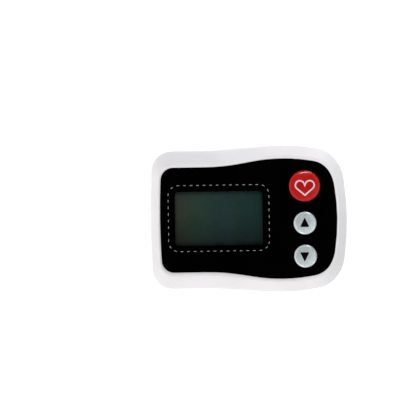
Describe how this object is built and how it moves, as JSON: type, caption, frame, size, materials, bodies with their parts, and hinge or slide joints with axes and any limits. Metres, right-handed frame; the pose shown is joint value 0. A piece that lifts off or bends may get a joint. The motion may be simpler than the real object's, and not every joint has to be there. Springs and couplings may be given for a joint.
{
  "type": "ambulatory heart recorder",
  "caption": "Pocket ambulatory heart recorder with a display, an event button, arrow buttons, a battery door and a lead socket.",
  "frame": {"origin": "middle of the box round the recorder, on the plane it rests on", "axes": "+X from the display end to the button end, +Y up as the display is read, +Z out of the face"},
  "size_m": [0.0781, 0.0582, 0.0176],
  "materials": {
    "white_abs": "fine satin moulding",
    "black_panel": "high gloss, printed black from behind",
    "adhesive": "matte film",
    "clear_window": "clear, polished",
    "red_abs": "gloss moulding",
    "silver_abs": "satin, fine metallic flake",
    "black_plastic": "matte moulding",
    "switch_metal": "thin rolled sheet",
    "display_film": "smooth film, dark green-grey",
    "display_glass": "clear glass",
    "light_guide": "frosted acrylic",
    "flex_film": "amber film",
    "circuit_board": "green solder mask",
    "chip_epoxy": "moulded epoxy",
    "ceramic": "fired ceramic",
    "cell_wrap": "printed film on steel",
    "nickel_plate": "nickel plated",
    "socket_plastic": "glass-filled moulding",
    "gold_plate": "gold flash plating",
    "screw_steel": "zinc plated",
    "white_ink": "screen-printed ink",
    "black_ink": "pad-printed ink"
  },
  "bodies": {
    "recorder": {"front_shell": "white_abs", "back_shell": "white_abs", "face_panel": "black_panel", "panel_adhesive": "adhesive", "display_window": "clear_window", "event_switch": "switch_metal", "up_switch": "switch_metal", "down_switch": "switch_metal", "lcd_polariser": "display_film", "lcd_glass": "display_glass", "lcd_frame": "black_plastic", "lcd_light_guide": "light_guide", "lcd_flex": "flex_film", "main_board": "circuit_board", "processor": "chip_epoxy", "memory_chip": "chip_epoxy", "heart_amplifiers": "chip_epoxy", "crystal": "switch_metal", "capacitors": "ceramic", "buzzer": "black_plastic", "battery_cell": "cell_wrap", "battery_spring": "nickel_plate", "battery_contact": "nickel_plate", "lead_socket": "socket_plastic", "lead_contacts": "gold_plate", "case_screws": "screw_steel", "board_screws": "screw_steel"},
    "event": {"event_button": "red_abs", "event_plunger": "black_plastic"},
    "up": {"up_button": "silver_abs", "up_plunger": "black_plastic"},
    "down": {"down_button": "silver_abs", "down_plunger": "black_plastic"},
    "door": {"battery_door": "white_abs"}
  },
  "joints": [
    {"name": "event_press", "type": "slide", "parent": "recorder", "child": "event", "axis": [0, 0, -1], "range_m": [0, 0.0005], "stiffness_N_per_m": 1500},
    {"name": "up_press", "type": "slide", "parent": "recorder", "child": "up", "axis": [0, 0, -1], "range_m": [0, 0.0005], "stiffness_N_per_m": 1500},
    {"name": "down_press", "type": "slide", "parent": "recorder", "child": "down", "axis": [0, 0, -1], "range_m": [0, 0.0005], "stiffness_N_per_m": 1500},
    {"name": "door_slide", "type": "slide", "parent": "recorder", "child": "door", "axis": [-1, 0, 0], "range_m": [0, 0.058]}
  ]
}
